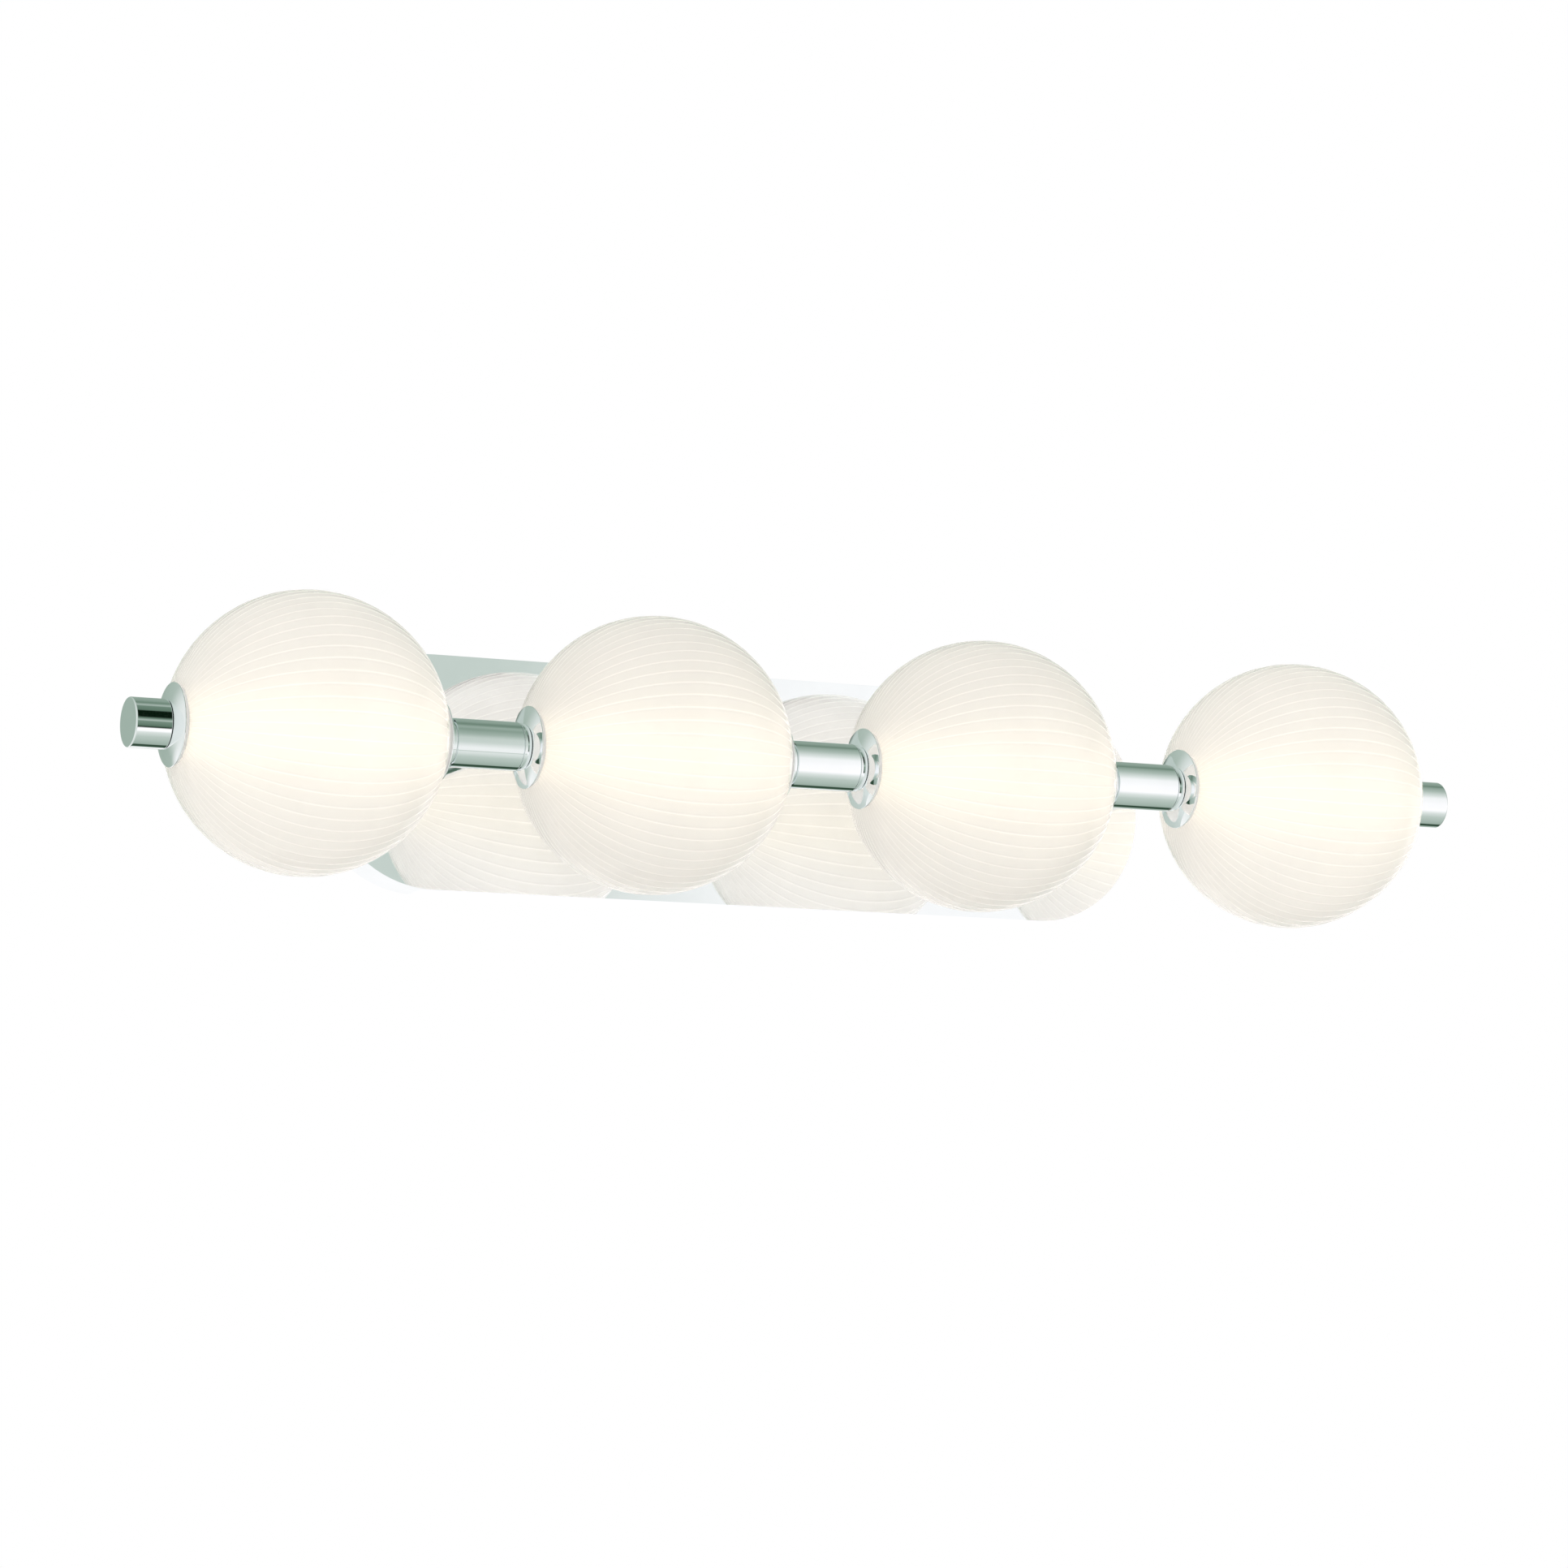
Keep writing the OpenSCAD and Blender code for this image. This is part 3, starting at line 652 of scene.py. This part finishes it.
def studio_light():
    """An even white room. Mirrors see it with the soft grey bands of a studio's screens and lamps."""
    world = bpy.data.worlds.new("studio")
    world.use_nodes = True
    bpy.context.scene.world = world
    tree = world.node_tree
    way = add(tree, "ShaderNodeTexCoord").outputs["Generated"]
    x, y, z = add(tree, "ShaderNodeSeparateXYZ", {"Vector": way}).outputs
    ahead = add(tree, "ShaderNodeMath", {0: y, 1: -1.0}, operation="MULTIPLY").outputs[0]
    angle = add(tree, "ShaderNodeMath", {0: z, 1: ahead}, operation="ARCTAN2").outputs[0]
    circle = {"Value": angle, "From Min": -math.pi, "From Max": math.pi}
    turn = add(tree, "ShaderNodeMapRange", circle).outputs["Result"]
    left = light_ramp(tree, turn, LEFT_SIDE)
    dark = light_ramp(tree, turn, all_round(GREY_BEHIND, DARK_SIDE))
    grey = light_ramp(tree, turn, all_round(WHITE_BEHIND, GREY_MIDDLE))
    bright = light_ramp(tree, turn, all_round(WHITE_BEHIND, BRIGHT_SIDE))
    bands = soft_step(tree, x, FAR_TO_LEFT, tone(FAR_LEFT), left)
    bands = soft_step(tree, x, LEFT_TO_DARK, bands, dark)
    bands = soft_step(tree, x, DARK_TO_GREY, bands, grey)
    bands = soft_step(tree, x, GREY_TO_BRIGHT, bands, bright)
    mirrors = add(tree, "ShaderNodeLightPath").outputs["Glossy Depth"]
    white = mix_colours(tree, mirrors, rgba(ROOM_LIGHT), rgba(LIGHT_ON_MIRRORED))
    light = mix_colours(tree, seen_in_mirror(tree), white, bands)
    tree.links.new(light, tree.nodes["Background"].inputs["Color"])


# Low enough for the views from below
FLOOR_Z = -2.5
FLOOR_SIZE = 60
FLOOR_DARK = (0.972, 0.972, 0.972)
FLOOR_LIGHT = (0.978, 0.978, 0.978)


def floor():
    """Wide pale floor, which mirrors don't see."""
    half = FLOOR_SIZE / 2
    corners = [(-half, -half, FLOOR_Z), (half, -half, FLOOR_Z), (half, half, FLOOR_Z), (-half, half, FLOOR_Z)]
    mesh = bpy.data.meshes.new("studio_floor")
    mesh.from_pydata(corners, [], [(0, 1, 2, 3)])
    mesh.materials.append(surface("floor_paint", FLOOR_DARK, FLOOR_LIGHT, (0.7, 0.8), scale=2))
    ground = bpy.data.objects.new("studio_floor", mesh)
    bpy.context.scene.collection.objects.link(ground)
    ground.visible_glossy = False


# Camera: to the left of the lamp and a little below it, with a long lens
CAMERA_TURN = math.radians(26.14)
CAMERA_TILT = math.radians(8.62)
CAMERA_ROLL = math.radians(-0.652)
CAMERA_DISTANCE = 2.898
CAMERA_TARGET = Vector((-0.0209, BAR_Y, -0.0107))
LENS = 126.85  # focal length in millimetres


def place_camera():
    """The camera, at the photograph's angle."""
    level = Vector((math.sin(CAMERA_TURN), math.cos(CAMERA_TURN), 0))
    forward = level * math.cos(CAMERA_TILT) + Vector((0, 0, math.sin(CAMERA_TILT)))
    right = Vector((level.y, -level.x, 0))
    axes = Matrix((right, right.cross(forward), -forward)).transposed().to_4x4()
    place = Matrix.Translation(CAMERA_TARGET - forward * CAMERA_DISTANCE)
    data = bpy.data.cameras.new("camera")
    data.lens = LENS
    camera = bpy.data.objects.new("camera", data)
    bpy.context.scene.collection.objects.link(camera)
    camera.matrix_world = place @ axes @ Matrix.Rotation(CAMERA_ROLL, 4, "Z")
    bpy.context.scene.camera = camera


bpy.context.scene.view_settings.view_transform = "Standard"
place_camera()
studio_light()
floor()
MATERIALS = make_materials()
dress_cad_nodes()
build_globes()
build_collars()
build_end_caps()
